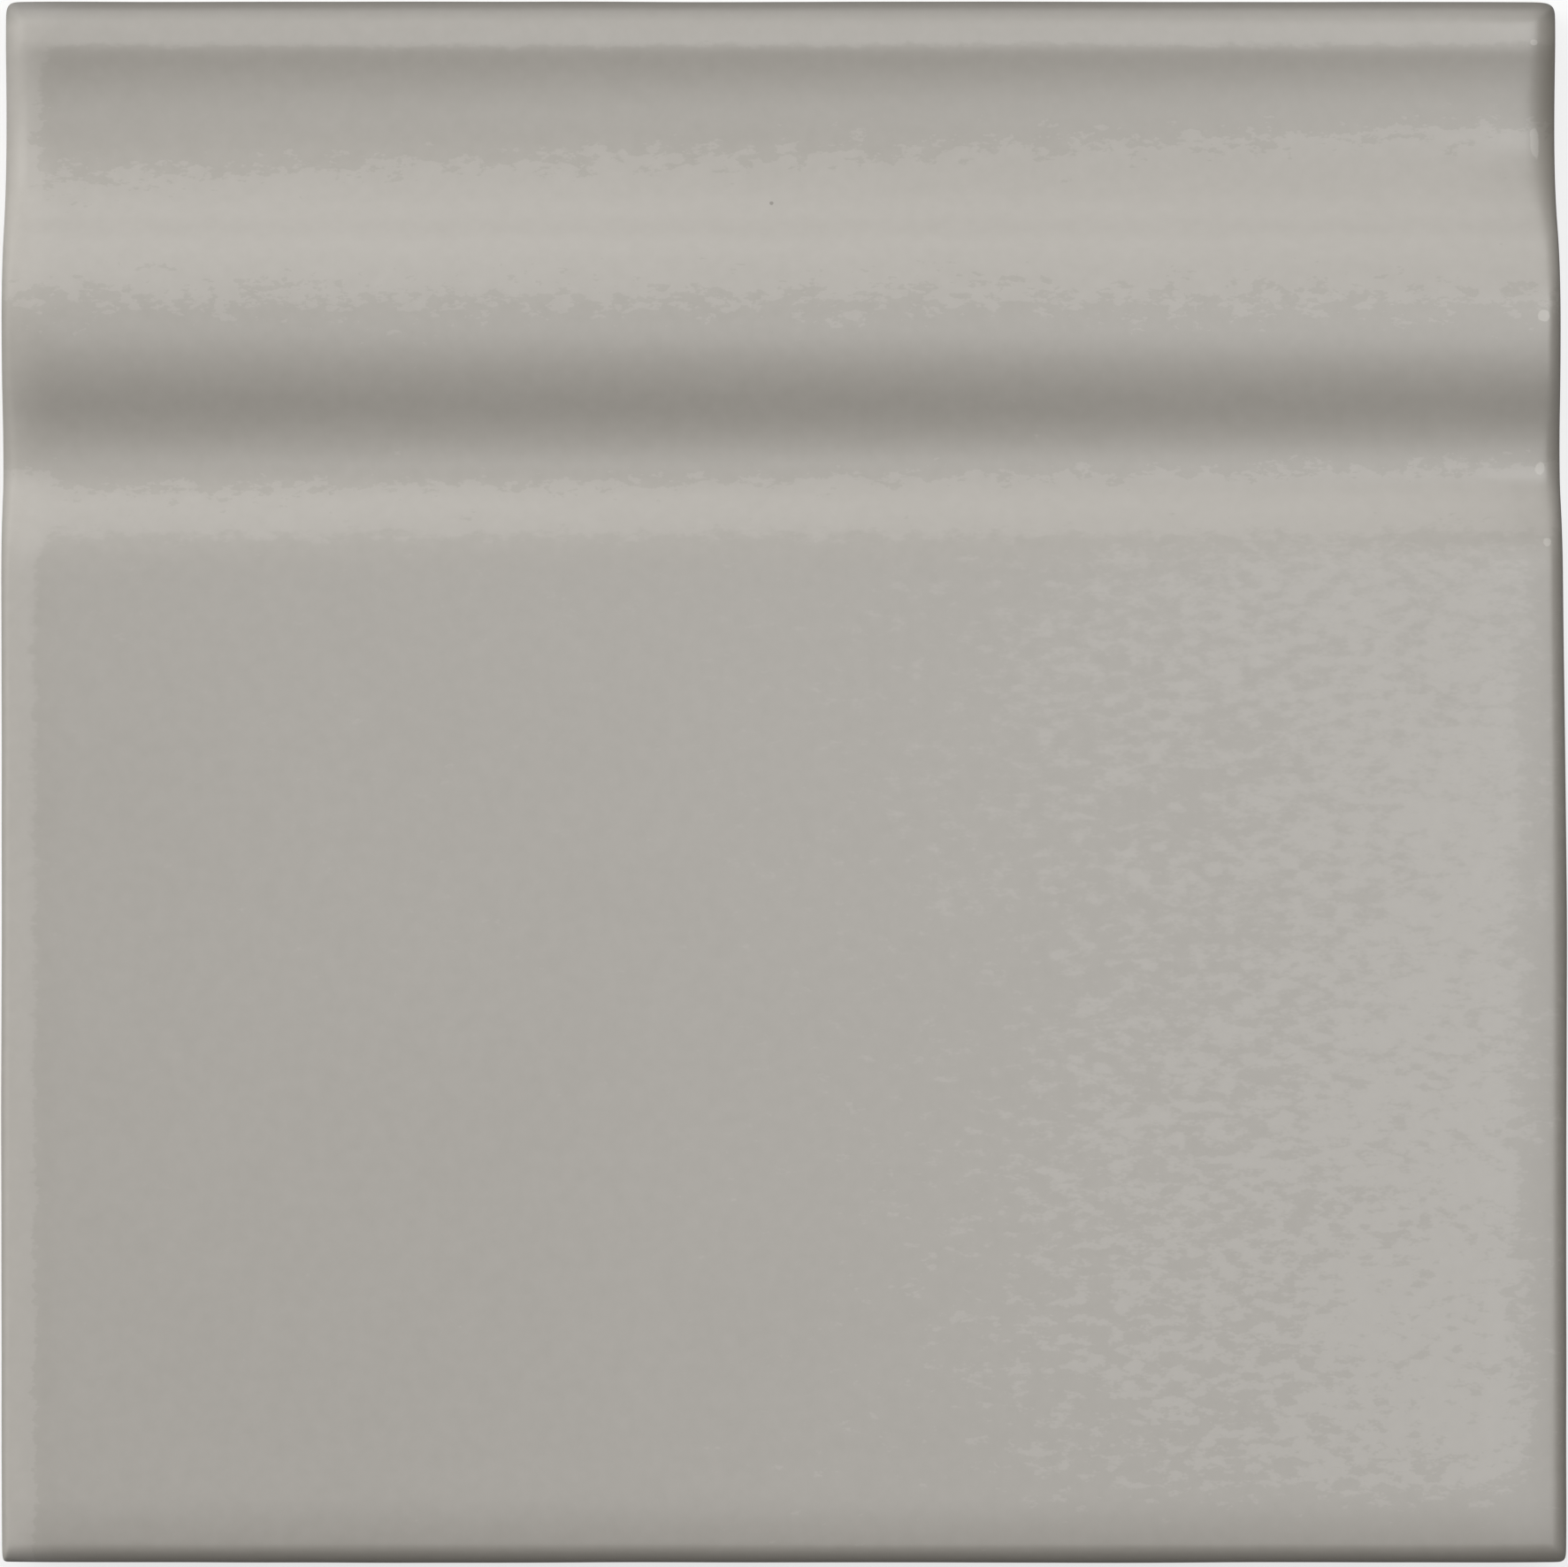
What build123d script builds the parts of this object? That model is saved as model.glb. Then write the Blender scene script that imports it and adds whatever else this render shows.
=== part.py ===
from build123d import *
import os

# Skirting tile, pressed and fired as one piece, in millimetres.
# It lies on its back: X runs along the wall, +Y points to the moulded top edge,
# +Z points out of the glazed face, and the back is the plane Z = 0.

# Overall sizes
tile_width = 152.0
tile_height = 152.0
field_thickness = 16.0

# Moulding: how far each level line lies below the top edge,
# and how deep it lies below the flat field
bead_from_top = 4.0
bead_depth = 6.4
cove_from_top = 12.5
cove_depth = 7.5
roll_from_top = 31.5
roll_depth = 0.3
quirk_from_top = 46.0
quirk_depth = 3.0
field_from_top = 56.0

# Where each ogee turns from round to hollow, as a share of its run
shoulder_share = 0.72
quirk_share = 0.43
ramp_share = 0.48
cove_share = 0.85

# Eased edges of the face
top_edge_fall = 0.3
floor_edge_run = 6.5
floor_edge_fall = 0.6
arris_radius = 2.0

# Keying grooves in the back, which the adhesive grips, and the plain border round them
groove_pitch = 16.0
groove_width = 8.0
groove_depth = 1.0
groove_draft = 20.0
groove_border = 12.0

# Level points of the section: Y runs up the tile, Z out of its face
top_edge = tile_height / 2
floor_edge = -tile_height / 2
bead = Vector(top_edge - bead_from_top, field_thickness - bead_depth)
cove = Vector(top_edge - cove_from_top, field_thickness - cove_depth)
roll = Vector(top_edge - roll_from_top, field_thickness - roll_depth)
quirk = Vector(top_edge - quirk_from_top, field_thickness - quirk_depth)
field_top = Vector(top_edge - field_from_top, field_thickness)
field_foot = Vector(floor_edge + floor_edge_run, field_thickness)
top_corner = Vector(top_edge, bead.Y - top_edge_fall)
floor_corner = Vector(floor_edge, field_thickness - floor_edge_fall)
level = Vector(1, 0)


def ogee(start, end, share):
    """Two tangent arcs between two level points, which turn over at a share of the run."""
    turn = start + (end - start) * share
    first = TangentArc(start, turn, tangent=level)
    TangentArc(turn, end, tangent=first % 1)


with BuildPart() as skirting_tile:
    # Section across the tile, drawn up the face from the floor edge to the top edge
    with BuildSketch(Plane.YZ):
        with BuildLine():
            Line((floor_edge, 0), floor_corner)
            TangentArc(field_foot, floor_corner, tangent=-level)
            Line(field_foot, field_top)
            ogee(field_top, quirk, shoulder_share)
            ogee(quirk, roll, quirk_share)
            ogee(roll, cove, ramp_share)
            ogee(cove, bead, cove_share)
            TangentArc(bead, top_corner, tangent=level)
            Line(top_corner, (top_edge, 0))
            Line((top_edge, 0), (floor_edge, 0))
        make_face()
    extrude(amount=tile_width / 2, both=True)

    # The glazed arris runs round the face and down the four corners
    end_edges = skirting_tile.faces().filter_by(Axis.X).edges()
    back_end_edges = end_edges.group_by(Axis.Z)[0]
    long_edges = skirting_tile.edges().filter_by(Axis.X).group_by(Axis.Y)
    face_floor_edge = long_edges[0].sort_by(Axis.Z)[-1]
    face_top_edge = long_edges[-1].sort_by(Axis.Z)[-1]
    fillet([*(end_edges - back_end_edges), face_floor_edge, face_top_edge], radius=arris_radius)

    # Closed keying grooves across the back, in pairs either side of a land at its centre
    groove_pairs = int((tile_height / 2 - groove_border) // groove_pitch)
    with BuildSketch(Plane.XY):
        with GridLocations(0, groove_pitch, 1, 2 * groove_pairs):
            SlotOverall(tile_width - 2 * groove_border, groove_width)
    extrude(amount=groove_depth, taper=groove_draft, mode=Mode.SUBTRACT)

skirting_tile.part.label = "skirting_tile"

os.makedirs("parts", exist_ok=True)
export_step(skirting_tile.part, "parts/skirting_tile.step")
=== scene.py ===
"""Looks of a glazed skirting tile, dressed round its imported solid.

The tile lies on its back with the glazed face up: X runs along the wall, +Y to
the moulded top edge and +Z out of the face. All sizes are in metres.
"""

import logging
import math
from dataclasses import asdict, dataclass
from enum import Enum

import bmesh
import bpy
import numpy as np
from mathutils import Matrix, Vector


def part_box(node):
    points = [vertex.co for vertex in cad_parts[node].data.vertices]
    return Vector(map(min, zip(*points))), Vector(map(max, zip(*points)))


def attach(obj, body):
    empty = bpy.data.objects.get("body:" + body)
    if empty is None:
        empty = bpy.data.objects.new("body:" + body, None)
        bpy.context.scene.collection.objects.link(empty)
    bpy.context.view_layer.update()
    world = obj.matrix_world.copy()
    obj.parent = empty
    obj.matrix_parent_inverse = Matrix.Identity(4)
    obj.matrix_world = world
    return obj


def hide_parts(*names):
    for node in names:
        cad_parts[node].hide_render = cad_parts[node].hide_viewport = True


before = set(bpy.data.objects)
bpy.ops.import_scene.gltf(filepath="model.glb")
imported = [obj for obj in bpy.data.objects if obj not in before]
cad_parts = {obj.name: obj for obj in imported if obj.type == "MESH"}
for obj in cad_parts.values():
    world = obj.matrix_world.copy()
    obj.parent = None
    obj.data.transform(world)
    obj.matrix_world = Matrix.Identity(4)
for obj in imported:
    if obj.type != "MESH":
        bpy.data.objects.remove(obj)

LOG = logging.getLogger("skirting_tile")
CAD_NODE = "skirting_tile"
TINY = 1e-6

Colour = tuple[float, float, float, float]
Point = tuple[float, float, float]
Span = tuple[float, float]

WHITE: Colour = (1.0, 1.0, 1.0, 1.0)


class TreeKind(Enum):
    """The kinds of node tree that the tile needs."""

    GEOMETRY = "GeometryNodeTree"
    SHADER = "ShaderNodeTree"


class SocketKind(Enum):
    """The kinds of named socket on a node group."""

    FLOAT = "NodeSocketFloat"
    COUNT = "NodeSocketInt"
    VECTOR = "NodeSocketVector"
    GEOMETRY = "NodeSocketGeometry"
    MATERIAL = "NodeSocketMaterial"


class Graph:
    """A node tree in the making: it adds nodes, feeds their sockets and names group sockets."""

    def __init__(self, tree: bpy.types.NodeTree) -> None:
        """Works on a tree that exists already, such as a material's own."""
        self.tree = tree

    @classmethod
    def group(cls, name: str, kind: TreeKind) -> "Graph":
        """Starts a new node group.

        Args:
            name: the group's name.
            kind: whether it makes geometry or shades a surface.

        Returns:
            The graph of the new group, with its input and output nodes.
        """
        graph = cls(bpy.data.node_groups.new(name, kind.value))
        graph.source = graph.tree.nodes.new("NodeGroupInput")
        graph.sink = graph.tree.nodes.new("NodeGroupOutput")
        return graph

    def add_input(self, name: str, kind: SocketKind = SocketKind.FLOAT) -> "Formula":
        """Names an input of the group and returns its value."""
        self.tree.interface.new_socket(name, in_out="INPUT", socket_type=kind.value)
        return Formula(self, self.source.outputs[name])

    def add_output(self, name: str, kind: SocketKind, value: object) -> None:
        """Names an output of the group and feeds it a value."""
        self.tree.interface.new_socket(name, in_out="OUTPUT", socket_type=kind.value)
        self.feed(self.sink.inputs[name], value)

    def feed(self, socket: bpy.types.NodeSocket, value: object) -> None:
        """Links a formula or a socket to an input, or sets a plain value on it."""
        if isinstance(value, Formula):
            value = value.socket
        if isinstance(value, bpy.types.NodeSocket):
            self.tree.links.new(value, socket)
        else:
            socket.default_value = value

    def node(self, kind: str, inputs: dict | None = None, **settings: object) -> bpy.types.Node:
        """Adds a node.

        Args:
            kind: the node's type name.
            inputs: what feeds its inputs, by socket name or number.
            **settings: properties set on the node first.

        Returns:
            The new node.
        """
        node = self.tree.nodes.new(kind)
        for name, value in settings.items():
            setattr(node, name, value)
        for name, value in (inputs or {}).items():
            self.feed(node.inputs[name], value)
        return node

    def value(
        self, kind: str, inputs: dict | None = None, output: str | int = 0, **settings: object
    ) -> "Formula":
        """Adds a node and returns one of its outputs as a value.

        Args:
            kind: the node's type name.
            inputs: what feeds its inputs, by socket name or number.
            output: which output to return.
            **settings: properties set on the node first.

        Returns:
            The output's value.
        """
        return Formula(self, self.node(kind, inputs, **settings).outputs[output])

    def merged(self, *parts: object) -> "Formula":
        """Joins several geometries into one."""
        node = self.node("GeometryNodeJoinGeometry")
        for part in parts:
            self.feed(node.inputs[0], part)
        return Formula(self, node.outputs[0])

    def split(self, vector: object) -> tuple["Formula", "Formula", "Formula"]:
        """The X, Y and Z of a vector."""
        outputs = self.node("ShaderNodeSeparateXYZ", {0: vector}).outputs
        return tuple(Formula(self, socket) for socket in outputs)

    def join(self, x: object, y: object, z: object) -> "Formula":
        """A vector from its X, Y and Z."""
        return self.value("ShaderNodeCombineXYZ", {0: x, 1: y, 2: z})

    def between(self, factor: object, first: object, second: object) -> "Formula":
        """A number between two others."""
        return self.value("ShaderNodeMix", {0: factor, 2: first, 3: second}, 0, data_type="FLOAT")

    def blend(self, factor: object, first: object, second: object) -> "Formula":
        """A colour between two others."""
        return self.value("ShaderNodeMix", {0: factor, 6: first, 7: second}, 2, data_type="RGBA")

    def noise(
        self,
        vector: object,
        size: object,
        seed: object,
        detail: object = 2.0,
        raggedness: object = 0.5,
    ) -> "Formula":
        """Smooth noise from 0 to 1 with patches of about a given size.

        Args:
            vector: the place on the surface, in metres.
            size: how large the patches are, in metres.
            seed: which of the endless patterns to take.
            detail: how many finer octaves are laid over it.
            raggedness: how strong each of them is beside the one before.

        Returns:
            The noise value.
        """
        inputs = {"Vector": vector, "W": seed, "Scale": 1.0 / size, "Detail": detail}
        inputs["Roughness"] = raggedness
        return self.value("ShaderNodeTexNoise", inputs, noise_dimensions="4D")


class Formula:
    """A value in a node tree, which plain arithmetic turns into Math nodes."""

    def __init__(self, graph: Graph, socket: bpy.types.NodeSocket) -> None:
        """Wraps a socket of the graph."""
        self.graph = graph
        self.socket = socket

    def _math(self, operation: str, *values: object) -> "Formula":
        """Adds one Math node fed by the values in order."""
        return self.graph.value("ShaderNodeMath", dict(enumerate(values)), operation=operation)

    def __add__(self, other: object) -> "Formula":
        """The sum."""
        return self._math("ADD", self, other)

    def __radd__(self, other: object) -> "Formula":
        """The sum with a plain number first."""
        return self._math("ADD", other, self)

    def __sub__(self, other: object) -> "Formula":
        """The difference."""
        return self._math("SUBTRACT", self, other)

    def __rsub__(self, other: object) -> "Formula":
        """The difference from a plain number."""
        return self._math("SUBTRACT", other, self)

    def __mul__(self, other: object) -> "Formula":
        """The product."""
        return self._math("MULTIPLY", self, other)

    def __rmul__(self, other: object) -> "Formula":
        """The product with a plain number first."""
        return self._math("MULTIPLY", other, self)

    def __truediv__(self, other: object) -> "Formula":
        """The quotient."""
        return self._math("DIVIDE", self, other)

    def __rtruediv__(self, other: object) -> "Formula":
        """A plain number divided by the value."""
        return self._math("DIVIDE", other, self)

    def __abs__(self) -> "Formula":
        """The size of the value without its sign."""
        return self._math("ABSOLUTE", self)

    def sign(self) -> "Formula":
        """Minus one, zero or one."""
        return self._math("SIGN", self)

    def sine(self) -> "Formula":
        """The sine of the value in radians."""
        return self._math("SINE", self)

    def root(self) -> "Formula":
        """The square root, with anything below zero taken as zero."""
        return self._math("SQRT", self.at_least(0.0))

    def rounded(self) -> "Formula":
        """The nearest whole number."""
        return self._math("ROUND", self)

    def power(self, exponent: object) -> "Formula":
        """The value raised to a power."""
        return self._math("POWER", self, exponent)

    def at_least(self, least: object) -> "Formula":
        """The value, or the least one if it is lower."""
        return self._math("MAXIMUM", self, least)

    def above(self, low: object, high: object) -> "Formula":
        """A soft step from 0 at the low value to 1 at the high one."""
        inputs = {"Value": self, "From Min": low, "From Max": high}
        return self.graph.value("ShaderNodeMapRange", inputs, interpolation_type="SMOOTHSTEP")


def run_tree(piece: bpy.types.Object, tree: bpy.types.NodeTree, values: dict[str, object]) -> None:
    """Runs a geometry tree on a piece and keeps the plain mesh that it makes.

    Args:
        piece: the object whose mesh is the tree's input.
        tree: the geometry node group.
        values: the tree's named inputs.
    """
    modifier = piece.modifiers.new(tree.name, "NODES")
    modifier.node_group = tree
    for item in tree.interface.items_tree:
        if item.in_out == "INPUT" and item.name in values:
            modifier[item.identifier] = values[item.name]
    depsgraph = bpy.context.evaluated_depsgraph_get()
    made = bpy.data.meshes.new_from_object(
        piece.evaluated_get(depsgraph), preserve_all_data_layers=True, depsgraph=depsgraph
    )
    piece.modifiers.remove(modifier)
    piece.data = made


@dataclass(frozen=True)
class LevelLine:
    """A line along the moulding where its section runs level."""

    from_top: float
    depth: float


@dataclass(frozen=True)
class Moulding:
    """The section of the face: a bead, a cove, a roll and a quirk above a flat field."""

    bead: LevelLine = LevelLine(0.0040, 0.0064)
    cove: LevelLine = LevelLine(0.0125, 0.0075)
    roll: LevelLine = LevelLine(0.0315, 0.0003)
    quirk: LevelLine = LevelLine(0.0460, 0.0030)
    field: LevelLine = LevelLine(0.0560, 0.0)
    shoulder_share: float = 0.72
    quirk_share: float = 0.43
    ramp_share: float = 0.48
    cove_share: float = 0.85
    top_edge_fall: float = 0.0003
    floor_edge_run: float = 0.0065
    floor_edge_fall: float = 0.0006
    glaze_softening: float = 0.0006
    softening_reach: float = 2.0
    softening_steps: int = 17
    rows: int = 260

    @staticmethod
    def _level_arc(y: np.ndarray, level: np.ndarray, end: np.ndarray) -> np.ndarray:
        """Heights on an arc that starts level at one point and ends at another.

        Args:
            y: places up the tile.
            level: the point (y, z) where the arc runs level.
            end: the point (y, z) where it ends.

        Returns:
            The height at each place.
        """
        run, rise = end - level
        radius = (run**2 + rise**2) / (2 * rise)
        reach = np.clip(np.abs(y - level[0]), 0.0, abs(run))
        return level[1] + radius - np.sign(radius) * np.sqrt(radius**2 - reach**2)

    def heights(self, y: np.ndarray, top: float, thickness: float) -> np.ndarray:
        """The height of the face above the back, before its arrises are rounded.

        Args:
            y: places up the tile.
            top: Y of the top edge, with the floor edge as far below the origin.
            thickness: height of the flat field.

        Returns:
            The height at each place.
        """
        field, quirk, roll, cove, bead = (
            np.array((top - line.from_top, thickness - line.depth))
            for line in (self.field, self.quirk, self.roll, self.cove, self.bead)
        )
        foot = np.array((-top + self.floor_edge_run, thickness))
        floor_corner = np.array((-top, thickness - self.floor_edge_fall))
        top_corner = np.array((top, bead[1] - self.top_edge_fall))
        arcs = [(foot, floor_corner), (bead, top_corner)]
        for start, end, share in (
            (field, quirk, self.shoulder_share),
            (quirk, roll, self.quirk_share),
            (roll, cove, self.ramp_share),
            (cove, bead, self.cove_share),
        ):
            turn = start + (end - start) * share
            arcs += [(start, turn), (end, turn)]
        z = np.full_like(y, thickness)
        for level, end in arcs:
            low, high = sorted((level[0], end[0]))
            inside = (y >= low) & (y <= high)
            z[inside] = self._level_arc(y[inside], level, end)
        return z

    def chain(self, top: float, thickness: float) -> bpy.types.Mesh:
        """The section as a chain of points up the tile, closer together at both edges.

        Args:
            top: Y of the top edge.
            thickness: height of the flat field.

        Returns:
            A mesh of points and edges in the YZ plane.
        """
        y = top * np.sin(np.linspace(-math.pi / 2, math.pi / 2, self.rows))
        offsets = np.linspace(-self.softening_reach, self.softening_reach, self.softening_steps)
        weights = np.exp(-(offsets**2) / 2)
        spread = y[:, None] + self.glaze_softening * offsets
        z = self.heights(np.clip(spread, -top, top), top, thickness) @ weights / weights.sum()
        mesh = bpy.data.meshes.new("tile_section")
        points = np.column_stack((np.zeros_like(y), y, z))
        mesh.from_pydata(points.tolist(), [(i, i + 1) for i in range(self.rows - 1)], [])
        return mesh


@dataclass(frozen=True)
class KeyedBack:
    """Closed grooves across the back, which the adhesive grips."""

    pitch: float = 0.016
    width: float = 0.008
    depth: float = 0.001
    draft: float = math.radians(20.0)
    border: float = 0.012
    corner_steps: int = 8
    corner_share: float = 0.49

    def tree(self, tile_width: float, tile_height: float) -> bpy.types.NodeTree:
        """Builds the node group of the grooves.

        Args:
            tile_width: the tile's size along X.
            tile_height: the tile's size along Y.

        Returns:
            A group that gives the grooves' outlines in the back, and their walls and floors.
        """
        length = tile_width - 2 * self.border
        count = 2 * int((tile_height / 2 - self.border) // self.pitch)
        narrowing = 2 * self.depth * math.tan(self.draft)
        first = -self.pitch * (count - 1) / 2
        graph = Graph.group("keying_grooves", TreeKind.GEOMETRY)
        strip = graph.value(
            "GeometryNodeCurvePrimitiveQuadrilateral", {"Width": length, "Height": self.width}
        )
        radius = self.corner_share * self.width
        rounding = {"Curve": strip, "Count": self.corner_steps, "Radius": radius}
        outline = graph.value("GeometryNodeFilletCurve", rounding, mode="POLY")
        filled = graph.value("GeometryNodeFillCurve", {"Curve": outline}, mode="NGONS")
        sunk = graph.node("GeometryNodeExtrudeMesh", {"Mesh": filled, "Offset Scale": 0.0})
        x, y, _ = graph.split(graph.value("GeometryNodeInputPosition"))
        shorter = x * (1.0 - narrowing / length)
        narrower = y * (1.0 - narrowing / self.width)
        floor = {"Geometry": sunk.outputs["Mesh"], "Selection": sunk.outputs["Top"]}
        floor["Position"] = graph.join(shorter, narrower, self.depth)
        groove = graph.value("GeometryNodeSetPosition", floor)
        rows = {"Count": count, "Start Location": (0.0, first, 0.0), "Offset": (0.0, self.pitch, 0.0)}
        places = graph.value("GeometryNodeMeshLine", rows)
        for name, shape in (("Outlines", outline), ("Grooves", groove)):
            copies = graph.value("GeometryNodeInstanceOnPoints", {"Points": places, "Instance": shape})
            real = graph.value("GeometryNodeRealizeInstances", {"Geometry": copies})
            graph.add_output(name, SocketKind.GEOMETRY, real)
        return graph.tree


@dataclass(frozen=True)
class GlazedFace:
    """How the fired glaze softens the pressed edges and flows down the sides."""

    columns: int = 200
    top_arris: float = 0.0026
    floor_arris: float = 0.0021
    left_arris: float = 0.0010
    right_arris: float = 0.0018
    left_spread: float = 0.0015
    right_spread: float = 0.0021
    right_draw: float = 0.00065
    corner_tightness: float = 5.0
    right_bend: float = 2.8
    arris_drop: float = 0.0021
    left_ease_run: float = 0.0055
    left_ease_fall: float = 0.00085
    right_ease_run: float = 0.0090
    right_ease_fall: float = 0.00065
    ripple_size: float = 0.014
    ripple_depth: float = 0.00003
    edge_wave_size: float = 0.024
    edge_wave: float = 0.00022
    line_height: float = 0.0032
    line_wander: float = 0.0018
    line_wave_size: float = 0.016
    lip: float = 0.00022
    back_bevel: float = 0.00015
    seed: float = 4.0

    def named_sizes(self) -> dict[str, float]:
        """The sizes by the names that the geometry tree gives them."""
        return {name.replace("_", " ").title(): value for name, value in asdict(self).items()}


@dataclass(frozen=True)
class FaceZones:
    """Where the face changes from one end or edge to another, and how its bends are shared out."""

    halves: Span = (-0.01, 0.01)
    corner_turn: Span = (-0.3, 0.3)
    moulded: Span = (0.02, 0.05)
    drawn_in: Span = (-0.02, 0.058)
    round_bend: float = 2.0
    full_share: float = 0.92
    lip_shoulder: float = 0.3
    lip_foot: float = 0.7
    sharp_angle: float = math.radians(32.0)


class PressedTile:
    """The tile itself: its pressed form, its keyed back and its two finishes."""

    def __init__(
        self, moulding: Moulding, back: KeyedBack, face: GlazedFace, zones: FaceZones
    ) -> None:
        """Takes the overall size from the frame.

        Args:
            moulding: the section of the face.
            back: the keying grooves.
            face: the glaze's own shape.
            zones: where that shape changes.
        """
        low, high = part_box(CAD_NODE)
        self.width, self.height, self.thickness = high - low
        self.moulding = moulding
        self.back = back
        self.zones = zones
        self.sizes = face.named_sizes() | {
            "Width": self.width,
            "Height": self.height,
            "Field Height": self.thickness,
            "Cove Depth": moulding.cove.depth,
        }

    def _shape_face(self, graph: Graph, section: Formula, size: dict[str, Formula]) -> Formula:
        """Shapes the glazed face from the section, with its rounded arrises and corners.

        Args:
            graph: the tile's geometry graph.
            section: the chain of points up the tile.
            size: the group's named sizes.

        Returns:
            The face as an open sheet, with its masks and outward directions stored on it.
        """
        zones = self.zones
        rows = graph.value("GeometryNodeAttributeDomainSize", {"Geometry": section}, "Point Count")
        counts = {"Size X": 1.0, "Size Y": 1.0, "Vertices X": size["Columns"], "Vertices Y": rows}
        sheet = graph.value("GeometryNodeMeshGrid", counts)
        position = graph.value("GeometryNodeInputPosition")
        across, up, _ = graph.split(position)
        row = ((up + 0.5) * (rows - 1.0)).rounded()
        sampled = graph.node("GeometryNodeSampleIndex", data_type="FLOAT_VECTOR", clamp=True)
        for name, value in (("Geometry", section), ("Value", position), ("Index", row)):
            graph.feed(sampled.inputs[name], value)
        _, y, z = graph.split(sampled.outputs["Value"])
        x = size["Width"] / 2.0 * (across * math.pi).sine()

        hollow = (size["Field Height"] - z) / size["Cove Depth"]
        end_gap = size["Width"] / 2.0 - abs(x)
        edge_gap = size["Height"] / 2.0 - abs(y)
        right, upper = x.above(*zones.halves), y.above(*zones.halves)
        end_radius = graph.between(right, size["Left Arris"], size["Right Arris"])
        spread = graph.between(right, size["Left Spread"], size["Right Spread"])
        end_radius = end_radius + spread * hollow * graph.between(right, 1.0, hollow)
        edge_radius = graph.between(upper, size["Floor Arris"], size["Top Arris"])
        near_end = (1.0 - end_gap / end_radius).at_least(0.0)
        near_edge = (1.0 - edge_gap / edge_radius).at_least(0.0)
        nearest, tight = near_end.at_least(near_edge), size["Corner Tightness"]
        joint = (near_end.power(tight) + near_edge.power(tight)).power(1.0 / tight)
        squeeze = nearest / joint.at_least(TINY)
        at_right_end = right * (near_end - near_edge).above(*zones.corner_turn)
        arris = nearest.power(graph.between(at_right_end, zones.round_bend, size["Right Bend"]))
        drop = size["Arris Drop"] * (1.0 - (1.0 - arris).root())
        ease_run = graph.between(right, size["Left Ease Run"], size["Right Ease Run"])
        fullness = y.above(*zones.moulded) * (1.0 - hollow * hollow)
        right_fall = size["Right Ease Fall"] * (1.0 - zones.full_share * fullness)
        ease_fall = graph.between(right, size["Left Ease Fall"], right_fall)
        easing = (1.0 - end_gap / ease_run).at_least(0.0)
        fall = drop + ease_fall * easing * easing

        plan_x = x.sign() * (abs(x) - end_radius * near_end * (1.0 - squeeze))
        plan_y = y.sign() * (abs(y) - edge_radius * near_edge * (1.0 - squeeze))
        plan = graph.join(plan_x, plan_y, 0.0)
        lean_x, lean_y = near_end.power(tight - 1.0), near_edge.power(tight - 1.0)
        direction = graph.join(x.sign() * lean_x, y.sign() * lean_y, 0.0)
        outward = graph.value("ShaderNodeVectorMath", {0: direction}, operation="NORMALIZE")
        out_x, out_y, _ = graph.split(outward)
        wave = size["Edge Wave"] * arris * graph.noise(plan, size["Edge Wave Size"], size["Seed"], 1.0)
        ripple = size["Ripple Depth"] * graph.noise(plan, size["Ripple Size"], size["Seed"] + 7.0)
        drawn = size["Right Draw"] * right * y.above(*zones.drawn_in) / (size["Width"] / 2.0)
        place_x = plan_x * (1.0 - drawn) - out_x * wave
        place = graph.join(place_x, plan_y - out_y * wave, z - fall - ripple)
        sheet = self._store(graph, sheet, "arris", arris)
        sheet = self._store(graph, sheet, "hollow", hollow)
        sheet = self._store(graph, sheet, "outward", outward, "FLOAT_VECTOR")
        return graph.value("GeometryNodeSetPosition", {"Geometry": sheet, "Position": place})

    @staticmethod
    def _store(graph: Graph, mesh: Formula, name: str, value: Formula, kind: str = "FLOAT") -> Formula:
        """Stores a value on the points of a mesh under a name."""
        inputs = {"Geometry": mesh, "Name": name, "Value": value}
        return graph.value("GeometryNodeStoreNamedAttribute", inputs, data_type=kind, domain="POINT")

    @staticmethod
    def _mark_bare(graph: Graph, mesh: Formula, faces: object) -> Formula:
        """Marks faces that the glaze leaves bare."""
        inputs = {"Geometry": mesh, "Selection": faces, "Name": "bare", "Value": True}
        return graph.value(
            "GeometryNodeStoreNamedAttribute", inputs, data_type="BOOLEAN", domain="FACE"
        )

    @staticmethod
    def _run_down(graph: Graph, mesh: Formula, edges: object, inward: object, height: object) -> tuple:
        """Carries an open edge inwards and down to a new height.

        Args:
            graph: the tile's geometry graph.
            mesh: the mesh so far.
            edges: which edges to carry on.
            inward: how far in they go.
            height: the height that they end at.

        Returns:
            The longer mesh, its new open edges and its new side faces.
        """
        outward = graph.value(
            "GeometryNodeInputNamedAttribute", {"Name": "outward"}, data_type="FLOAT_VECTOR"
        )
        x, y, _ = graph.split(graph.value("GeometryNodeInputPosition"))
        out_x, out_y, _ = graph.split(outward)
        place = graph.join(x - out_x * inward, y - out_y * inward, height)
        inputs = {"Mesh": mesh, "Selection": edges, "Offset Scale": 0.0}
        grown = graph.node("GeometryNodeExtrudeMesh", inputs, mode="EDGES")
        new_edges, new_sides = grown.outputs["Top"], grown.outputs["Side"]
        moved = {"Geometry": grown.outputs["Mesh"], "Selection": new_edges, "Position": place}
        return graph.value("GeometryNodeSetPosition", moved), new_edges, new_sides

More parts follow.
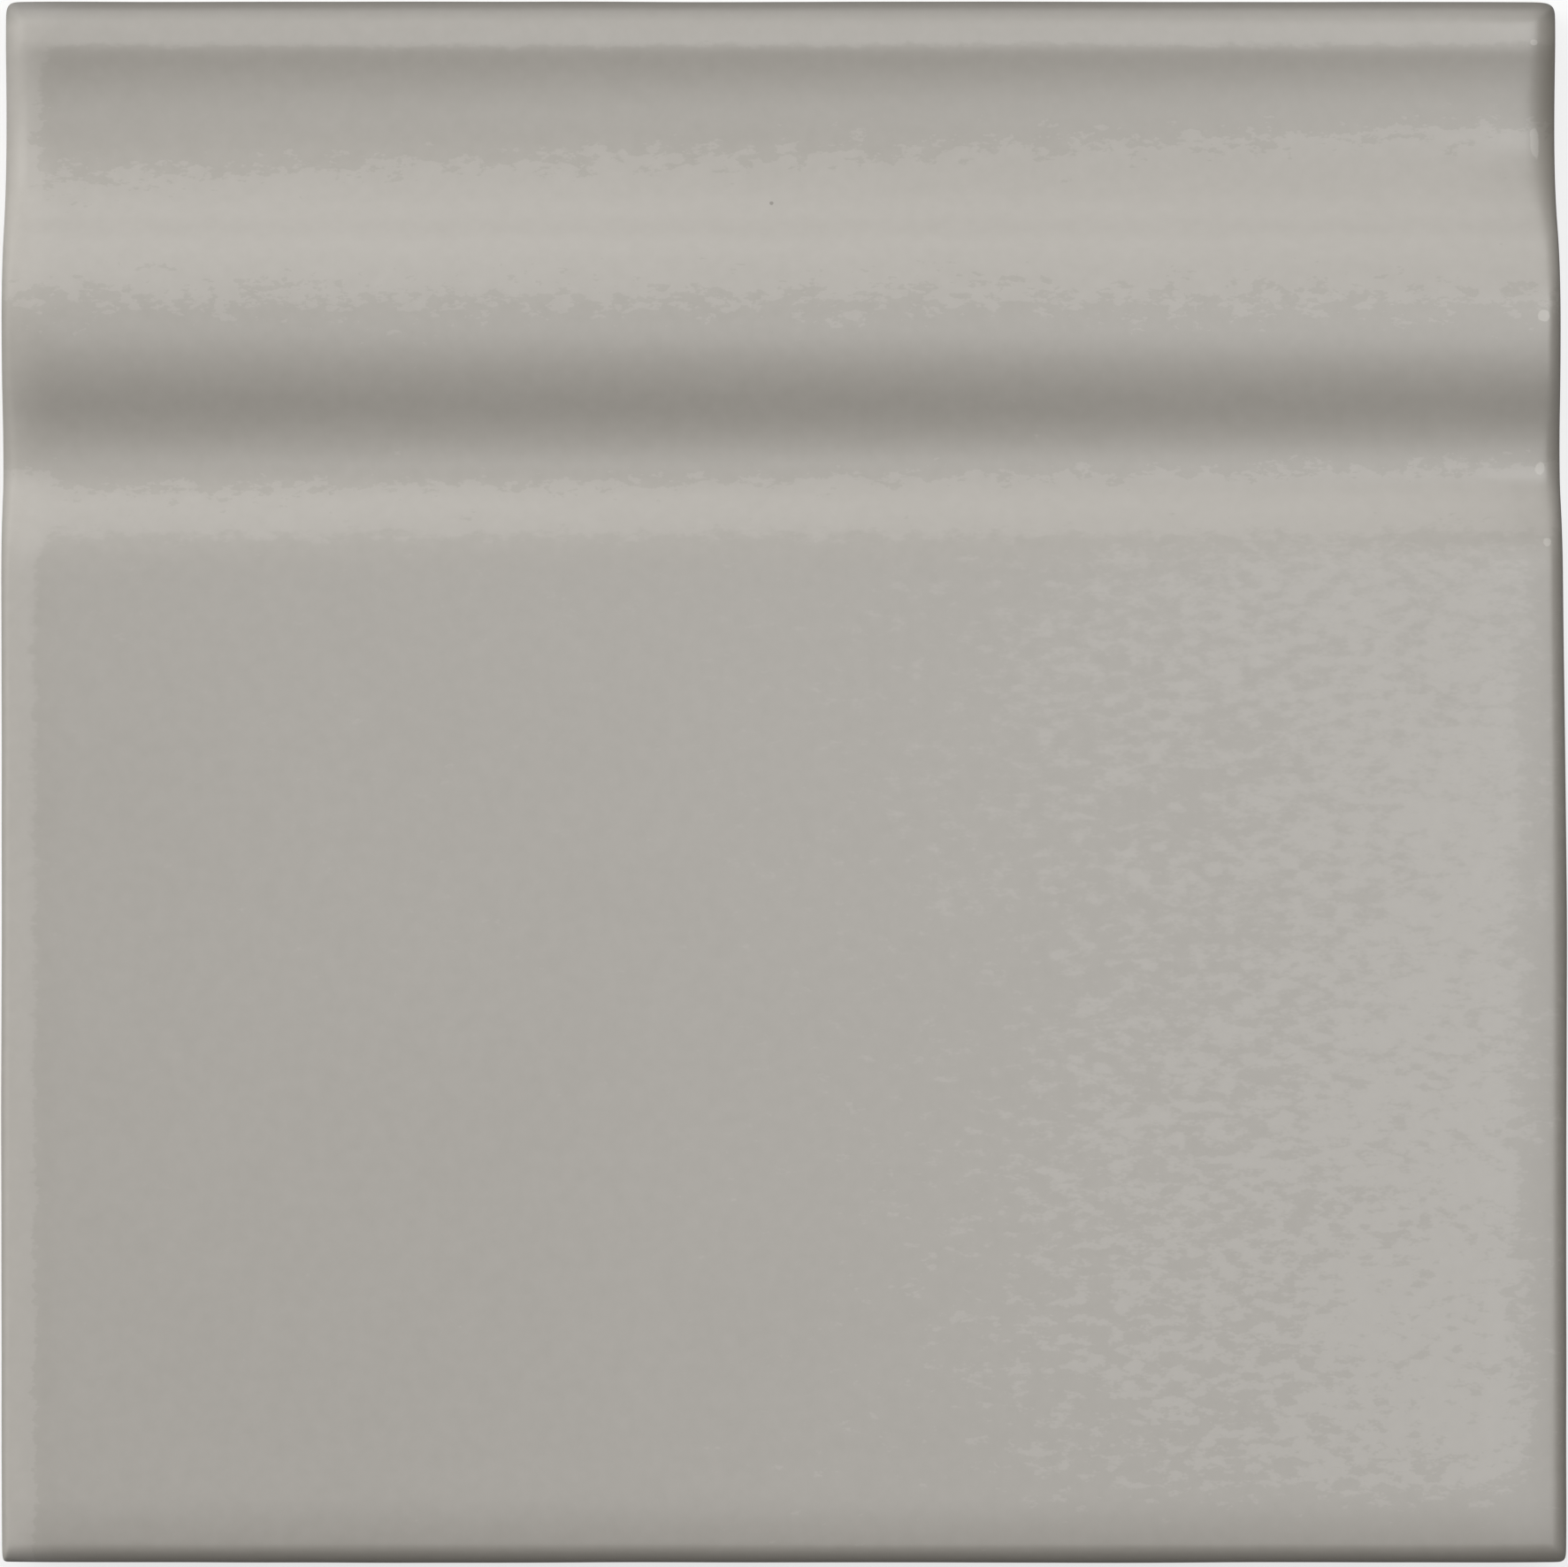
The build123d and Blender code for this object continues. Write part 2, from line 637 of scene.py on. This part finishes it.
    def _run_sides(self, graph: Graph, face: Formula, size: dict[str, Formula]) -> tuple:
        """Runs the sides down from the face: glaze to a wandering line, then bare body to the back.

        Args:
            graph: the tile's geometry graph.
            face: the open sheet of the face.
            size: the group's named sizes.

        Returns:
            The open shell, and the edges round its back.
        """
        neighbours = graph.value("GeometryNodeInputMeshEdgeNeighbors")
        edges = graph.value("FunctionNodeCompare", {0: neighbours, 1: 1.0}, operation="EQUAL")
        position = graph.value("GeometryNodeInputPosition")
        wander = graph.noise(position, size["Line Wave Size"], size["Seed"] + 3.0) * 2.0 - 1.0
        line = size["Line Height"] + size["Line Wander"] * wander
        lip, bevel = size["Lip"], size["Back Bevel"]
        shell = face
        shoulder, foot = lip * self.zones.lip_shoulder, lip * self.zones.lip_foot
        for inward, height in ((0.0, line + lip), (shoulder, line + shoulder), (foot, line)):
            shell, edges, _ = self._run_down(graph, shell, edges, inward, height)
        for inward, height in ((0.0, bevel), (bevel, 0.0)):
            shell, edges, sides = self._run_down(graph, shell, edges, inward, height)
            shell = self._mark_bare(graph, shell, sides)
        return shell, edges

    def _tree(self) -> bpy.types.NodeTree:
        """Builds the tile's geometry tree, from its section to a closed tile in two materials."""
        graph = Graph.group("pressed_tile", TreeKind.GEOMETRY)
        section = graph.add_input("Section", SocketKind.GEOMETRY)
        size = {}
        for name, value in self.sizes.items():
            kind = SocketKind.COUNT if isinstance(value, int) else SocketKind.FLOAT
            size[name] = graph.add_input(name, kind)
        glaze = graph.add_input("Glaze", SocketKind.MATERIAL)
        biscuit = graph.add_input("Biscuit", SocketKind.MATERIAL)

        face = self._shape_face(graph, section, size)
        shell, edges = self._run_sides(graph, face, size)
        keys = graph.node("GeometryNodeGroup", node_tree=self.back.tree(self.width, self.height))
        border = graph.value("GeometryNodeMeshToCurve", {"Mesh": shell, "Selection": edges})
        outlines = graph.merged(border, keys.outputs["Outlines"])
        plate = graph.value("GeometryNodeFillCurve", {"Curve": outlines}, mode="NGONS")
        back = self._mark_bare(graph, graph.merged(plate, keys.outputs["Grooves"]), True)
        whole = graph.merged(shell, back)
        welded = graph.value("GeometryNodeMergeByDistance", {"Geometry": whole, "Distance": TINY})
        tile = graph.value("GeometryNodeRealizeInstances", {"Geometry": welded})
        bare = graph.value("GeometryNodeInputNamedAttribute", {"Name": "bare"}, data_type="BOOLEAN")
        for selection, material in ((True, glaze), (bare, biscuit)):
            inputs = {"Geometry": tile, "Selection": selection, "Material": material}
            tile = graph.value("GeometryNodeSetMaterial", inputs)
        graph.add_output("Tile", SocketKind.GEOMETRY, tile)
        return graph.tree

    def build(self, glaze: bpy.types.Material, biscuit: bpy.types.Material) -> bpy.types.Object:
        """Makes the tile and puts it in the place of its solid.

        Args:
            glaze: the finish of the face and of the sides down to the glaze line.
            biscuit: the finish of the bare body below it and of the back.

        Returns:
            The finished piece.
        """
        section = self.moulding.chain(self.height / 2, self.thickness)
        tile = bpy.data.objects.new("glazed_skirting_tile", section)
        bpy.context.scene.collection.objects.link(tile)
        run_tree(tile, self._tree(), self.sizes | {"Glaze": glaze, "Biscuit": biscuit})
        self._finish_mesh(tile.data)
        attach(tile, "root")
        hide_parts(CAD_NODE)
        return tile

    def _finish_mesh(self, mesh: bpy.types.Mesh) -> None:
        """Turns all faces outwards, drops the empty slot and smooths all but the sharp edges."""
        work = bmesh.new()
        work.from_mesh(mesh)
        bmesh.ops.recalc_face_normals(work, faces=work.faces)
        work.to_mesh(mesh)
        work.free()
        if mesh.materials[0] is None:
            mesh.materials.pop(index=0)
        mesh.shade_smooth()
        mesh.set_sharp_from_angle(angle=self.zones.sharp_angle)


class KilnEffects:
    """Shader groups that both finishes use: drifts of tone, and specks of clay or iron."""

    SPECK_CORE = 0.4
    SHARE_EDGE = 0.9

    def __init__(self) -> None:
        """Builds the groups once."""
        self.mottle = self._mottle()
        self.specks = self._specks()

    @staticmethod
    def _mottle() -> bpy.types.NodeTree:
        """Builds the cloudy drift of tone that firing leaves, from about -0.5 to 0.5."""
        graph = Graph.group("kiln_mottle", TreeKind.SHADER)
        vector = graph.add_input("Vector", SocketKind.VECTOR)
        names = ("Patch Size", "Seed", "Detail", "Raggedness")
        tone = graph.noise(vector, *(graph.add_input(name) for name in names)) - 0.5
        graph.add_output("Tone", SocketKind.FLOAT, tone)
        return graph.tree

    def _specks(self) -> bpy.types.NodeTree:
        """Builds sparse specks, as a mask that is 1 on a speck."""
        graph = Graph.group("body_specks", TreeKind.SHADER)
        vector = graph.add_input("Vector", SocketKind.VECTOR)
        spacing, size, share = (graph.add_input(name) for name in ("Spacing", "Size", "Share"))
        cells = graph.node("ShaderNodeTexVoronoi", {"Vector": vector, "Scale": 1.0 / spacing})
        distance = Formula(graph, cells.outputs["Distance"]) * spacing
        chance, _, _ = graph.split(cells.outputs["Color"])
        chosen = chance.above(1.0 - share, 1.0 - share * self.SHARE_EDGE)
        speck = 1.0 - distance.above(size * self.SPECK_CORE, size)
        graph.add_output("Mask", SocketKind.FLOAT, speck * chosen)
        return graph.tree

    def drift(
        self,
        graph: Graph,
        place: Formula,
        size: float,
        detail: float,
        seed: float,
        raggedness: float = 0.5,
    ) -> Formula:
        """Places a drift of tone in a material.

        Args:
            graph: the material's graph.
            place: the place on the surface.
            size: how large its patches are.
            detail: how many finer octaves they have.
            seed: which pattern to take.
            raggedness: how strong the finer octaves are.

        Returns:
            The drift, from about -0.5 to 0.5.
        """
        node = graph.node("ShaderNodeGroup", node_tree=self.mottle)
        graph.feed(node.inputs["Vector"], place)
        values = {"Patch Size": size, "Detail": detail, "Seed": seed, "Raggedness": raggedness}
        for name, value in values.items():
            graph.feed(node.inputs[name], value)
        return Formula(graph, node.outputs["Tone"])

    def speckle(
        self, graph: Graph, place: Formula, spacing: float, size: float, share: float
    ) -> Formula:
        """Places specks in a material.

        Args:
            graph: the material's graph.
            place: the place on the surface.
            spacing: how far apart they may come.
            size: how large they are.
            share: how many of those places have one.

        Returns:
            A mask that is 1 on a speck.
        """
        node = graph.node("ShaderNodeGroup", node_tree=self.specks)
        for name, value in (("Vector", place), ("Spacing", spacing), ("Size", size), ("Share", share)):
            graph.feed(node.inputs[name], value)
        return Formula(graph, node.outputs["Mask"])


def new_material(name: str) -> tuple[bpy.types.Material, Graph, bpy.types.Node]:
    """Starts a material.

    Args:
        name: the finish's name.

    Returns:
        The material, its graph and its Principled shader.
    """
    material = bpy.data.materials.new(name)
    material.use_nodes = True
    return material, Graph(material.node_tree), material.node_tree.nodes["Principled BSDF"]


@dataclass(frozen=True)
class Spot:
    """A small round mark in the glaze, used both for a fired iron flaw and for painted glints."""

    x: float
    y: float
    size: float
    tall: float = 1.0
    fray: float = 1.4
    core: float = 0.75

    def mask(self, x: Formula, y: Formula, wobble: Formula) -> Formula:
        """The mark's mask, a little out of round.

        Args:
            x: the place along the tile.
            y: the place up the tile.
            wobble: a fine drift that frays its edge.

        Returns:
            A mask that is 1 on the mark.
        """
        off_x, off_y = x - self.x, (y - self.y) / self.tall
        distance = (off_x * off_x + off_y * off_y).root() + wobble * (self.size * self.fray)
        return 1.0 - distance.above(self.size * self.core, self.size)


@dataclass(frozen=True)
class PaintedHighlightZones:
    """Where highlight and sheen are painted into the glaze colour, as places along the tile and up it.
    """

    # Each zone paints highlight into the glaze colour: the lit bead, roll, shoulder and left end, and
    # the sheen over the right half of the field, which fades at the right rim.
    bead: Span = (0.0695, 0.0735)
    roll_slope: float = 0.034
    roll_top: Span = (0.0560, 0.0660)
    roll_foot: Span = (0.0400, 0.0530)
    shoulder_slope: float = 0.018
    shoulder_top: Span = (0.0262, 0.0322)
    shoulder_foot: Span = (0.0195, 0.0280)
    field_run: Span = (-0.020, 0.085)
    field_top: Span = (0.020, 0.030)
    field_least: float = 0.28
    field_gain: float = 0.34
    right_rim: Span = (0.0680, 0.0745)
    right_rim_loss: float = 0.7
    floor_rim: Span = (-0.0740, -0.0660)
    left_end: Span = (-0.0690, -0.0645)
    left_end_foot: Span = (0.0450, 0.0520)
    left_end_lean: float = 0.0058
    left_field: Span = (-0.0750, -0.0700)
    left_field_top: Span = (0.0275, 0.0335)
    flare: Span = (0.0200, 0.0270)
    flare_width: float = 0.0028

    def reach(self, x: Formula, y: Formula, hollow: Formula) -> Formula:
        """How far the painted highlight and sheen reach, before their patches fray it.

        Args:
            x: the place along the tile.
            y: the place up the tile.
            hollow: how deep the face lies there, from 0 on the field to 1 in the cove.

        Returns:
            From 0 where no highlight is painted to 1 where it is painted in full.
        """
        roll_line, shoulder_line = y - x * self.roll_slope, y - x * self.shoulder_slope
        bead = y.above(*self.bead)
        roll = (1.0 - roll_line.above(*self.roll_top)) * y.above(*self.roll_foot)
        shoulder = (1.0 - shoulder_line.above(*self.shoulder_top)) * y.above(*self.shoulder_foot)
        inside = (1.0 - x.above(*self.right_rim) * self.right_rim_loss) * y.above(*self.floor_rim)
        field = self.field_least + x.above(*self.field_run) * self.field_gain * inside
        field = field * (1.0 - y.above(*self.field_top))
        left_end = 1.0 - (x + hollow * self.left_end_lean).above(*self.left_end)
        left_end = left_end * y.above(*self.left_end_foot)
        flare = y.above(*self.flare) * self.flare_width
        left_field = 1.0 - (x - flare).above(*self.left_field)
        left_field = left_field * (1.0 - y.above(*self.left_field_top))
        reach = bead.at_least(roll).at_least(shoulder).at_least(field)
        return reach.at_least(left_end).at_least(left_field)


@dataclass(frozen=True)
class WarmGreyGlaze:
    """A satin glaze in warm grey, with painted highlight and sheen over the bead, the roll, the
    shoulder, the left end and the right half, painted shade in the hollows and on the arrises, and
    painted glints on the right end.
    """

    dark: Colour = (0.391, 0.368, 0.331, 1.0)
    light: Colour = (0.480, 0.456, 0.418, 1.0)
    # Painted shade on the arrises of the top, the floor edge and the right end.
    thin: Colour = (0.175, 0.130, 0.060, 1.0)
    # Painted shade along the top rim, a neutral dark.
    rim: Colour = (0.150, 0.146, 0.140, 1.0)
    iron: Colour = (0.075, 0.062, 0.045, 1.0)
    # Colour of the painted glints on the right end.
    bead: Colour = (0.540, 0.516, 0.474, 1.0)
    base_tone: float = 0.35
    cloud_size: float = 0.035
    cloud_detail: float = 3.0
    cloud_amount: float = 0.30
    cloud_reach: float = 0.2
    fleck_size: float = 0.0013
    fleck_detail: float = 4.0
    fleck_amount: float = 0.62
    # Painted shade in the hollows: the glaze colour darker where the face lies deep, except at the left
    # end.
    painted_hollow_shade: float = -0.25
    # How much lighter the painted highlight and sheen make the glaze colour.
    painted_highlight_tone: float = 0.40
    hollow_shade_start: Span = (-0.0750, -0.0700)
    # How strongly the arrises are darkened as painted shade.
    thinning: float = 0.34
    edge_shade_start: Span = (-0.074, -0.066)
    top_rim_shade_amount: float = 0.50
    top_rim_shade_rise: Span = (0.0732, 0.0757)
    zones: PaintedHighlightZones = PaintedHighlightZones()
    painted_highlight_level: float = 0.5
    patch_size: float = 0.0018
    patch_detail: float = 8.0
    patch_stretch: float = 0.50
    patch_raggedness: float = 0.62
    field_fray: float = 1.1
    band_fray: float = 2.4
    crisp_foot: Span = (0.0240, 0.0270)
    crisp_top: Span = (0.0650, 0.0680)
    crisp_edge: float = 0.040
    soft_edge: float = 0.110
    soft_rise: Span = (-0.06, 0.01)
    matt_coat: float = 0.45
    bright_coat: float = 0.62
    coat_roughness: float = 0.30
    arris_wear: float = 0.8
    roughness: float = 0.42
    roughness_drift: float = 0.10
    dull_end: float = 0.48
    dull_run: Span = (-0.0758, -0.0722)
    peel_size: float = 0.0018
    peel_detail: float = 2.0
    peel_depth: float = 0.000012
    speck_spacing: float = 0.016
    speck_size: float = 0.00016
    speck_share: float = 0.12
    stain: float = 0.5
    iron_spot: Spot = Spot(-0.00122, 0.0561, 0.00022)
    # Painted glints: small highlights on the right end, where a lamp glints on the arris.
    painted_glints: tuple[Spot, ...] = (
        Spot(0.0730, 0.0718, 0.00036, 0.8),
        Spot(0.0731, 0.0620, 0.00052, 3.2),
        Spot(0.0735, 0.0449, 0.00062),
        Spot(0.0733, 0.0303, 0.00055, 1.3),
        Spot(0.0739, 0.0230, 0.00045, 1.1),
    )
    seed: float = 11.0

    def material(self, effects: KilnEffects) -> bpy.types.Material:
        """Builds the glaze.

        Args:
            effects: the groups that it shares with the biscuit.

        Returns:
            The finished material.
        """
        material, graph, shader = new_material("warm_grey_glaze")
        place = graph.value("ShaderNodeTexCoord", output="Object")
        x, y, z = graph.split(place)
        arris = graph.value("ShaderNodeAttribute", output="Fac", attribute_name="arris")
        hollow = graph.value("ShaderNodeAttribute", output="Fac", attribute_name="hollow")
        cloud = effects.drift(graph, place, self.cloud_size, self.cloud_detail, self.seed)
        fleck = effects.drift(graph, place, self.fleck_size, self.fleck_detail, self.seed + 1.0)
        drawn = graph.join(x * self.patch_stretch, y, z)
        size, detail = self.patch_size * self.patch_stretch, self.patch_detail
        patch = effects.drift(graph, drawn, size, detail, self.seed + 2.0, self.patch_raggedness)
        peel = effects.drift(graph, place, self.peel_size, self.peel_detail, self.seed + 3.0)
        crisp = y.above(*self.crisp_foot) * (1.0 - y.above(*self.crisp_top))
        frayed = patch * graph.between(crisp, self.field_fray, self.band_fray)
        # Painted highlight and sheen: the zones where the lamps light the glaze, frayed into patches.
        reach = self.zones.reach(x, y, hollow) - self.painted_highlight_level + frayed
        reach = reach + cloud * self.cloud_reach
        field_edge = graph.between(y.above(*self.soft_rise), self.crisp_edge, self.soft_edge)
        edge = graph.between(crisp, field_edge, self.crisp_edge)
        painted_highlight_mask = reach.above(0.0 - edge, edge)
        tone = self.base_tone + cloud * self.cloud_amount + fleck * self.fleck_amount
        # Painted shade in the cove and quirk, left out at the lit left end.
        hollow_shade_mask = hollow * x.above(*self.hollow_shade_start)
        tone = tone + hollow_shade_mask * self.painted_hollow_shade + painted_highlight_mask * self.painted_highlight_tone
        colour = graph.blend(tone, self.dark, self.light)
        # Painted shade: the arrises darker, all but at the left end, which faces the lamps.
        edge_shade_mask = arris * x.above(*self.edge_shade_start) * self.thinning
        colour = graph.blend(edge_shade_mask, colour, self.thin)
        # Painted shade along the top rim.
        colour = graph.blend(y.above(*self.top_rim_shade_rise) * self.top_rim_shade_amount, colour, self.rim)
        # Painted glints on the right end.
        for spot in self.painted_glints:
            colour = graph.blend(spot.mask(x, y, fleck), colour, self.bead)
        sizes = (self.speck_spacing, self.speck_size, self.speck_share)
        specks = effects.speckle(graph, place, *sizes)
        stained = self.iron_spot.mask(x, y, fleck).at_least(specks) * self.stain
        graph.feed(shader.inputs["Base Color"], graph.blend(stained, colour, self.iron))
        dull = 1.0 - x.above(*self.dull_run)
        roughness = self.roughness + fleck * self.roughness_drift + dull * self.dull_end
        graph.feed(shader.inputs["Roughness"], roughness)
        coat = graph.between(painted_highlight_mask, self.matt_coat, self.bright_coat)
        coat = coat * (1.0 - arris * self.arris_wear) * (1.0 - dull)
        graph.feed(shader.inputs["Coat Weight"], coat)
        shader.inputs["Coat Roughness"].default_value = self.coat_roughness
        bump = graph.value("ShaderNodeBump", {"Height": peel, "Distance": self.peel_depth})
        graph.feed(shader.inputs["Normal"], bump)
        return material


@dataclass(frozen=True)
class BareBiscuit:
    """The fired clay of the back, dusty and open-grained."""

    dark: Colour = (0.56, 0.50, 0.42, 1.0)
    light: Colour = (0.76, 0.70, 0.61, 1.0)
    grog: Colour = (0.30, 0.24, 0.18, 1.0)
    base_tone: float = 0.5
    cloud_size: float = 0.022
    cloud_detail: float = 3.0
    cloud_amount: float = 0.9
    grain_size: float = 0.0009
    grain_detail: float = 4.0
    grain_amount: float = 0.8
    grain_depth: float = 0.00006
    speck_spacing: float = 0.006
    speck_size: float = 0.00035
    speck_share: float = 0.25
    roughness: float = 0.85
    roughness_drift: float = 0.15
    seed: float = 23.0

    def material(self, effects: KilnEffects) -> bpy.types.Material:
        """Builds the biscuit.

        Args:
            effects: the groups that it shares with the glaze.

        Returns:
            The finished material.
        """
        material, graph, shader = new_material("bare_biscuit")
        place = graph.value("ShaderNodeTexCoord", output="Object")
        cloud = effects.drift(graph, place, self.cloud_size, self.cloud_detail, self.seed)
        grain = effects.drift(graph, place, self.grain_size, self.grain_detail, self.seed + 1.0)
        sizes = (self.speck_spacing, self.speck_size, self.speck_share)
        specks = effects.speckle(graph, place, *sizes)
        tone = self.base_tone + cloud * self.cloud_amount + grain * self.grain_amount
        colour = graph.blend(specks, graph.blend(tone, self.dark, self.light), self.grog)
        graph.feed(shader.inputs["Base Color"], colour)
        graph.feed(shader.inputs["Roughness"], self.roughness + grain * self.roughness_drift)
        bump = graph.value("ShaderNodeBump", {"Height": grain, "Distance": self.grain_depth})
        graph.feed(shader.inputs["Normal"], bump)
        return material


@dataclass(frozen=True)
class Softbox:
    """A soft studio lamp that faces a point on the tile."""

    name: str
    place: Point
    size: Span
    power: float
    aim: Point = (0.0, 0.0, 0.0)

    def hang(self) -> None:
        """Adds the lamp to the scene."""
        data = bpy.data.lights.new(self.name, "AREA")
        data.shape = "RECTANGLE"
        data.size, data.size_y = self.size
        data.energy = self.power
        lamp = bpy.data.objects.new(self.name, data)
        lamp.location = self.place
        direction = Vector(self.aim) - lamp.location
        lamp.rotation_euler = direction.to_track_quat("-Z", "Y").to_euler()
        bpy.context.scene.collection.objects.link(lamp)


@dataclass(frozen=True)
class Camera:
    """A camera straight above the tile, framed as the photograph is."""

    image_width: int = 1773
    face_span: float = 1776.6
    above_field: float = 1.1
    sensor: float = 36.0
    off_centre: Span = (0.0, -0.00034)
    clip: Span = (0.01, 100.0)

    def mount(self, tile: PressedTile) -> None:
        """Adds the camera and makes it the scene's own."""
        data = bpy.data.cameras.new("overhead_camera")
        data.sensor_width = self.sensor
        view_width = tile.width * self.image_width / self.face_span
        data.lens = self.sensor * self.above_field / view_width
        data.clip_start, data.clip_end = self.clip
        camera = bpy.data.objects.new("overhead_camera", data)
        camera.location = (*self.off_centre, tile.thickness + self.above_field)
        bpy.context.scene.collection.objects.link(camera)
        bpy.context.scene.camera = camera


@dataclass(frozen=True)
class Studio:
    """A plain floor that the camera sees as white, a dim room and soft lamps."""

    floor_size: float = 8.0
    floor_gap: float = 0.0001
    floor_colour: Colour = (0.32, 0.32, 0.32, 1.0)
    floor_roughness: float = 0.9
    floor_white: float = 0.70
    room_light: float = 0.02
    room_white: float = 0.95
    lamps: tuple[Softbox, ...] = (
        Softbox("left_softbox", (-1.18, 0.55, 0.75), (1.2, 1.1), 10.5),
        Softbox("left_strip", (-1.40, 0.35, 0.40), (1.0, 0.5), 4.8),
        Softbox("top_softbox", (-0.05, 1.00, 1.08), (1.0, 1.4), 5.0),
        Softbox("top_strip", (-0.10, 1.43, 0.38), (1.4, 0.5), 3.2),
        Softbox("left_overhead", (-0.50, 0.05, 1.40), (0.6, 0.6), 1.0),
        Softbox("right_overhead", (0.48, 0.28, 1.39), (0.6, 0.6), 4.8),
        Softbox("sheen_panel", (0.26, -0.18, 1.35), (0.26, 0.9), 3.15),
    )

    def build(self) -> None:
        """Lays the floor, lights the room and hangs the lamps."""
        self._lay_floor()
        self._light_room()
        for lamp in self.lamps:
            lamp.hang()

    def _lay_floor(self) -> None:
        """Lays a plain floor, which looks white but sends little light back on the tile."""
        half = self.floor_size / 2
        spans = ((-half, -half), (half, -half), (half, half), (-half, half))
        corners = [(x, y, -self.floor_gap) for x, y in spans]
        mesh = bpy.data.meshes.new("studio_floor")
        mesh.from_pydata(corners, [], [(0, 1, 2, 3)])
        material, graph, shader = new_material("pale_floor")
        shader.inputs["Base Color"].default_value = self.floor_colour
        shader.inputs["Roughness"].default_value = self.floor_roughness
        shader.inputs["Specular IOR Level"].default_value = 0.0
        shader.inputs["Emission Color"].default_value = WHITE
        seen = graph.value("ShaderNodeLightPath", output="Is Camera Ray")
        graph.feed(shader.inputs["Emission Strength"], seen * self.floor_white)
        mesh.materials.append(material)
        floor = bpy.data.objects.new("studio_floor", mesh)
        bpy.context.scene.collection.objects.link(floor)

    def _light_room(self) -> None:
        """Gives the room a dim even light, and the camera a white backdrop."""
        world = bpy.data.worlds.new("dim_room")
        world.use_nodes = True
        graph = Graph(world.node_tree)
        background = graph.tree.nodes["Background"]
        background.inputs["Color"].default_value = WHITE
        seen = graph.value("ShaderNodeLightPath", output="Is Camera Ray")
        strength = self.room_light + seen * (self.room_white - self.room_light)
        graph.feed(background.inputs["Strength"], strength)
        bpy.context.scene.world = world


def main() -> None:
    """Builds the tile, its studio and its camera."""
    logging.basicConfig(level=logging.INFO, format="%(name)s: %(message)s")
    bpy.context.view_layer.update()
    bpy.context.scene.view_settings.view_transform = "Standard"
    effects = KilnEffects()
    tile = PressedTile(Moulding(), KeyedBack(), GlazedFace(), FaceZones())
    piece = tile.build(WarmGreyGlaze().material(effects), BareBiscuit().material(effects))
    LOG.info("%s: %d faces", piece.name, len(piece.data.polygons))
    Studio().build()
    Camera().mount(tile)


if __name__ == "__main__":
    main()
